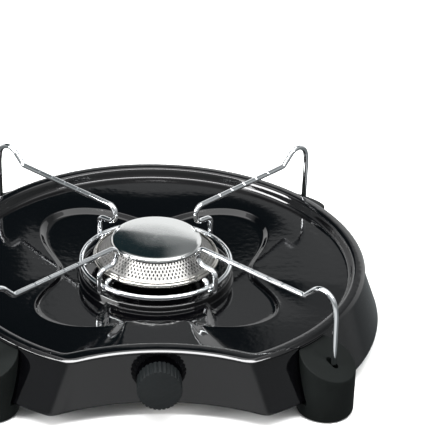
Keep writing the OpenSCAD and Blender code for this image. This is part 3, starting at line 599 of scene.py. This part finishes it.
CAP_R, CAP_DOME, CAP_EDGE, BURNER_R, BEAD, BOWL_Z, CONE_H, SPUN = 34, 2.4, 2.6, 47.2, 2.1, 57, 12.4, 0.8
BEAD_R = BURNER_R - BEAD
CONE_Z, CONE_TOP = BOWL_Z + 1.2, BOWL_Z + 1.2 + CONE_H
CONE_R, CONE_TOP_R = BEAD_R - 0.7, CAP_R - 1.9
edge_z, dome_top = CONE_TOP + SPUN, CONE_TOP + SPUN + CAP_DOME
dome = [(CAP_R, CONE_TOP - 1), (CAP_R, edge_z - 1.8)]
dome += [(CAP_R - CAP_EDGE + CAP_EDGE * cosine(a), edge_z - 1.6 + CAP_EDGE * sine(a))
         for a in range(0, 84, 12)]
dome += [(x, edge_z + 1 + (dome_top - edge_z - 1) * (1 - (x / (CAP_R - CAP_EDGE)) ** 2))
         for x in (30, 28, 25, 22, 18, 14, 10, 6, 2.5)] + [(0, dome_top)]
under = [(0, dome_top - SPUN), (CONE_TOP_R - 6, edge_z), (CONE_TOP_R - 5, CONE_TOP + 0.1),
         (CAP_R - SPUN, CONE_TOP + 0.1), (CAP_R - SPUN, CONE_TOP - 0.8)]
cap = turned(dome + under)
done(cap, "domed_cap", "base", steel, "stainless_steel", "burner_cap", angle=40)


# Port cone: rolled from sheet with a duller finish, whose grain runs round it. Its ports are
# punched in staggered rows. Each row is a band of faces that are inset, and the inner faces'
# corners are bevelled to a round port before they are deleted.
punched, tree = surface("stainless_steel_rolled", {"Metallic": 1, "Base Color": colour("#82817f")})
grain = pattern(tree, "ShaderNodeTexNoise", {"Scale": 2500, "Detail": 3}, {"Scale": (0.15, 0.15, 1)})
gloss(tree, grain, 0.34, 0.46)

ROWS, PORTS, FIRST_ROW, ROW_STEP = 5, 90, 2.0, 1.84
# How far a port's face is inset, what of its width is then taken off, and its corners' bevel
PORT_INSET, PORT_NARROWER, PORT_CORNER = 0.36, 0.44, 0.28


def cone_r(z):
    """Radius of the cone at a height."""
    return CONE_R + (CONE_TOP_R - CONE_R) * (z - CONE_Z) / CONE_H


def band(low, high, phase):
    """Adds one band of the cone, between two heights above its foot."""
    bpy.ops.mesh.select_all(action="DESELECT")
    bpy.ops.mesh.primitive_circle_add(vertices=PORTS, radius=cone_r(CONE_Z + low) * MM,
                                      location=at(0, 0, CONE_Z + low), rotation=(0, 0, phase))
    bpy.ops.mesh.extrude_edges_move(TRANSFORM_OT_translate={"value": (0, 0, (high - low) * MM)})
    ratio = cone_r(CONE_Z + high) / cone_r(CONE_Z + low)
    bpy.ops.transform.resize(value=(ratio, ratio, 1), center_override=at(0, 0, CONE_Z + high))


FLANGE_R = BEAD_R + 0.5
cone = start(bpy.ops.mesh.primitive_circle_add, vertices=PORTS, radius=FLANGE_R * MM,
             location=at(0, 0, BOWL_Z + 0.3))
bpy.ops.mesh.extrude_edges_move(TRANSFORM_OT_translate={"value": (0, 0, 0.5 * MM)})
ratio = CONE_R / FLANGE_R
bpy.ops.transform.resize(value=(ratio, ratio, 1), center_override=at(0, 0, BOWL_Z + 0.8))
band(-0.4, FIRST_ROW, 0)
for row in range(ROWS):
    band(FIRST_ROW + row * ROW_STEP, FIRST_ROW + (row + 1) * ROW_STEP, math.pi / PORTS * (row % 2))
    low, high = (CONE_Z + FIRST_ROW + (row + t) * ROW_STEP for t in (0.02, 0.98))
    pick(cone, "faces", lambda face: low * MM < face.calc_center_median().z < high * MM)
    bpy.ops.mesh.inset(thickness=PORT_INSET * MM, use_individual=True)
    mesh = bmesh.from_edit_mesh(cone.data)
    for face in [face for face in mesh.faces if face.select]:
        middle = face.calc_center_median()
        sideways = Vector((AXIS.y - middle.y, middle.x - AXIS.x, 0)).normalized()
        for v in face.verts:
            v.co -= sideways * (v.co - middle).dot(sideways) * PORT_NARROWER
    bmesh.update_edit_mesh(cone.data)
    bpy.ops.mesh.bevel(offset=PORT_CORNER * MM, segments=1, affect="VERTICES")
    pick(cone, "faces", lambda face: len(face.verts) == 8)
    bpy.ops.mesh.delete(type="FACE")
band(FIRST_ROW + ROWS * ROW_STEP, CONE_H, 0)
bpy.ops.mesh.select_all(action="SELECT")
bpy.ops.mesh.normals_make_consistent(inside=False)
bpy.ops.object.mode_set(mode="OBJECT")
modify(cone, "SOLIDIFY", thickness=0.6 * MM, offset=-1)
done(cone, "port_cone", "base", punched, "stainless_steel", "burner_port_ring")


# Rim ring: polished stainless steel, crimped over the flanges of cone and bowl. Its section is a
# round bead with a small lip curled over it.
polished, tree = surface("stainless_steel_polished", {"Metallic": 1, "Base Color": colour("#b0ada8")})
gloss(tree, pattern(tree, "ShaderNodeTexNoise", {"Scale": 300, "Detail": 3}), 0.1, 0.2)
beads = [(BEAD_R + BEAD * cosine(a), BOWL_Z + BEAD * sine(a)) for a in range(64, -245, -14)]
beads += [(BEAD_R - 0.1 + cosine(a), BOWL_Z + 2.3 + sine(a)) for a in range(204, -25, -19)]
rim_ring = turned(beads)
done(rim_ring, "crimped_rim_ring", "base", polished, "polished_steel", "burner_rim_ring", angle=50)


# Bowl: the burner's lower half, pressed from stainless steel. It stands on the tray's well and
# its flange ends inside the rim ring.
bowl = turned([(12, WELL_Z), (21.5, WELL_Z), (22.5, WELL_Z + 0.3), (23, WELL_Z + 1),
               (BEAD_R - 3, BOWL_Z - 1.4), (BEAD_R - 2.4, BOWL_Z - 1), (BEAD_R + 0.6, BOWL_Z - 1),
               (BEAD_R + 0.6, BOWL_Z), (BEAD_R - 3.4, BOWL_Z), (22.4, WELL_Z + 2.6), (12, WELL_Z + 2.6)])
done(bowl, "burner_bowl_shell", "base", steel, "stainless_steel", "burner_bowl")


# Pan support ring: steel wire with a butt weld at the rear, which stands out a little. The wire
# is chromium plated: a bright mirror with faint drawing lines under it.
chrome, tree = surface("chromium_plated_wire", {"Metallic": 1, "Base Color": colour("#d9dbdd")})
gloss(tree, pattern(tree, "ShaderNodeTexNoise", {"Scale": 900, "Detail": 2}), 0.04, 0.08)

RING_WIRE, RING_Z = 3.8, 53.4
ring = start(bpy.ops.mesh.primitive_torus_add, major_segments=192, minor_segments=24,
             major_radius=RING_R * MM, minor_radius=RING_WIRE / 2 * MM, location=at(0, 0, RING_Z))
pick(ring, "verts", lambda v: v.co.y > AXIS.y and abs(v.co.x) < 0.9 * MM)
bpy.ops.transform.shrink_fatten(value=0.2 * MM)
done(ring, "wire_ring", "pan_ring", chrome, "chromed_wire", "pan_support_ring")


# Arms: each is one wire, drawn in a plane from the tip of its leg over the hump and along to the
# bend by the burner, then to the hook that goes round the ring from below. Each corner has a
# bend radius. Five nicks are cut across its top, so that a pan doesn't slide.
HOOK_R = (RING_WIRE + 2 * WIRE_R) / 2 + PLAY
ARM_Z, HUMP_Z, LEG_TIP = RING_Z + 27.9, RING_Z + 49.59, 28.05
BEND_IN, KNEE = RING_R - 13.2, ARM_REACH - 28.4
ARM = (((ARM_REACH, LEG_TIP), 0), ((ARM_REACH, HUMP_Z - 25.7), 40), ((ARM_REACH - 5.7, HUMP_Z), 11.5),
       ((KNEE, ARM_Z), 5), ((BEND_IN, ARM_Z - 0.2), 6.3), ((BEND_IN, ARM_Z - 13.2), 6.3),
       ((RING_R + HOOK_R, ARM_Z - 14.6), 5), ((RING_R + HOOK_R, RING_Z - HOOK_R), HOOK_R),
       ((RING_R - HOOK_R, RING_Z - HOOK_R), HOOK_R), ((RING_R - HOOK_R, RING_Z + 2.6), 2.4),
       ((RING_R - HOOK_R - 3.4, RING_Z + 2.6), 0))
NICKS, NICK_FIRST, NICK_PITCH, NICK_WIDTH, NICK_DEPTH, NICK_SLANT = 5, RING_R + 12.5, 14, 1.4, 1, 4
WIRE_SIDES = 24


def bent_wire(path, radius):
    """Extrudes a round section along a plane path and spins it round each of its bends."""
    spots = [at(p[0], 0, p[1]) for p, _ in path]
    heads = [(b - a).normalized() for a, b in zip(spots, spots[1:])]
    bends = [0] * len(path)
    for i in range(1, len(path) - 1):
        bends[i] = path[i][1] * MM * math.tan(heads[i - 1].angle(heads[i]) / 2)
    piece = start(bpy.ops.mesh.primitive_circle_add, vertices=WIRE_SIDES, radius=radius * MM,
                  location=spots[0], rotation=heads[0].to_track_quat("Z", "Y").to_euler())
    for i, head in enumerate(heads):
        run = (spots[i + 1] - spots[i]).length - bends[i] - bends[i + 1]
        bpy.ops.mesh.extrude_edges_move(TRANSFORM_OT_translate={"value": head * run})
        if i + 1 < len(heads):
            swing = head.cross(heads[i + 1])
            side = swing.cross(head).normalized()
            centre = spots[i + 1] - head * bends[i + 1] + side * path[i + 1][1] * MM
            angle = head.angle(heads[i + 1])
            bpy.ops.mesh.spin(steps=max(3, round(math.degrees(angle) / 7)), angle=-angle,
                              center=centre, axis=swing.normalized())
    bpy.ops.mesh.select_all(action="SELECT")
    bpy.ops.mesh.fill_holes(sides=0)
    bpy.ops.mesh.remove_doubles(threshold=0.000001)
    bpy.ops.mesh.normals_make_consistent(inside=False)
    pick(piece, "faces", lambda face: len(face.verts) == WIRE_SIDES)
    bpy.ops.mesh.region_to_loop()
    bpy.ops.mesh.bevel(offset=0.5 * MM, segments=2, affect="EDGES")
    return piece


wire = bent_wire(ARM, WIRE_R)
for i in range(NICKS):
    nick = start(bpy.ops.mesh.primitive_cube_add, size=MM, scale=(NICK_WIDTH, 6, 3),
                 location=at(NICK_FIRST + NICK_PITCH * i, 0, ARM_Z + WIRE_R - NICK_DEPTH + 1.5),
                 rotation=(0, math.radians(NICK_SLANT), 0))
    cut(wire, nick)
for corner, az, lean in CORNERS:
    choose(wire)
    bpy.ops.object.duplicate()
    arm = bpy.context.object
    arm.data.transform(
        Matrix.Translation(AXIS) @ Matrix.Rotation(math.radians(az - 90), 4, "Z")
        @ Matrix.Translation(MM * Vector((RING_R, 0, RING_Z)))
        @ Matrix.Rotation(math.radians(-ARM_LEAN * lean), 4, "Y")
        @ Matrix.Translation(MM * Vector((-RING_R, 0, -RING_Z))) @ Matrix.Translation(-AXIS))
    done(arm, corner + "_wire_arm", corner + "_arm", chrome, "chromed_wire", corner + "_arm")
bpy.data.objects.remove(wire)


# Knob: moulded phenolic, fluted all round, with a flat face and a fine matte texture. Its face
# is a disc whose edge is pressed in at each flute, and it is extruded to the back.
phenolic, tree = surface("phenolic_moulded", {"Roughness": 0.42, "Specular IOR Level": 0.17})
fill = pattern(tree, "ShaderNodeTexNoise", {"Scale": 700, "Detail": 3})
tints(tree, fill, "#0d0f10", "#131617")
relief(tree, fill, 0.15, 0.0002)

KNOB_R, KNOB_FACE, KNOB_BACK, FLUTES, FLUTE_POINTS, FLUTE_R = 15.8, -143.06, -129.66, 30, 8, 1.2
hub = at(0, KNOB_FACE, GAS_Z)
knob = start(bpy.ops.mesh.primitive_circle_add, vertices=FLUTES * FLUTE_POINTS, radius=KNOB_R * MM,
             fill_type="NGON", location=hub, rotation=(math.radians(90), 0, 0))


def flute_point(v):
    """Which of its flute's points a vertex is, counted from the deepest."""
    turn_at = (v.co - hub).xz.angle_signed(Vector((1, 0))) / math.tau * FLUTES * FLUTE_POINTS
    return round(turn_at) % FLUTE_POINTS


for points, depth in (((0,), 0.55), ((1, FLUTE_POINTS - 1), 0.35)):
    share = 1 - FLUTE_R * depth / KNOB_R
    pick(knob, "verts", lambda v: flute_point(v) in points)
    bpy.ops.transform.resize(value=(share, 1, share), center_override=hub)
bpy.ops.mesh.select_all(action="SELECT")
bpy.ops.mesh.extrude_region_move(TRANSFORM_OT_translate={"value": (0, (KNOB_BACK - KNOB_FACE) * MM, 0)})
bpy.ops.mesh.select_all(action="SELECT")
bpy.ops.mesh.normals_make_consistent(inside=False)
pick(knob, "faces", lambda face: face.normal.y < -0.9)
bpy.ops.mesh.region_to_loop()
bpy.ops.mesh.bevel(offset=0.6 * MM, segments=2, affect="EDGES")
done(knob, "fluted_knob", "knob", phenolic, "knob_plastic", "knob", angle=30)


# Fasteners and brackets: steel with a thin bright coat of zinc, clouded by its passivation. They
# and the pieces below keep the CAD's shape.
zinc, tree = surface("zinc_plated_steel", {"Metallic": 1})
cloud = pattern(tree, "ShaderNodeTexNoise", {"Scale": 180, "Detail": 4})
tints(tree, cloud, "#a9b0b6", "#c6cacb")
gloss(tree, cloud, 0.25, 0.45)


def dress(material, *names):
    """Gives CAD nodes that stay as they are their material."""
    for name in names:
        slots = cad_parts[name].data.materials
        slots.clear()
        slots.append(material)


dress(zinc, "foot_screws", "foot_washers", "burner_screws", "valve_bracket", "inlet_bracket")


# Mixing tube: die-cast aluminium, grey and finely pitted.
casting, tree = surface("aluminium_cast", {"Metallic": 1, "Roughness": 0.5})
skin = pattern(tree, "ShaderNodeTexNoise", {"Scale": 500, "Detail": 5})
tints(tree, skin, "#8d9092", "#a9abac")
relief(tree, skin, 0.4, 0.0002)
dress(casting, "mixing_tube")


# Valve, jet, nuts and inlet: turned brass, with the rings of the tool, a little tarnished. The
# spindle's seal is of the feet's rubber.
brass, tree = surface("brass_turned", {"Metallic": 1})
tints(tree, pattern(tree, "ShaderNodeTexNoise", {"Scale": 90, "Detail": 4}), "#a8833f", "#cfae68")
lines = pattern(tree, "ShaderNodeTexWave", {"Scale": 900, "Distortion": 0.4, "Detail": 1},
                bands_direction="Y")
gloss(tree, lines, 0.2, 0.34)
dress(brass, "jet", "valve_body", "valve_locknut", "valve_gland_nut", "valve_spindle", "pipe_nuts",
      "inlet_fitting", "inlet_locknut")
dress(rubber, "spindle_seal")


# Gas pipe: drawn aluminium tube with faint lines along it.
tube, tree = surface("aluminium_drawn_tube", {"Metallic": 1, "Base Color": colour("#c2c5c8")})
lines = pattern(tree, "ShaderNodeTexNoise", {"Scale": 1200, "Detail": 2}, {"Scale": (1, 0.1, 1)})
gloss(tree, lines, 0.22, 0.4)
dress(tube, "gas_pipe")

size = {"cad": [list(v) for v in cad_box], "visual": [list(v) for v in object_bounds()]}
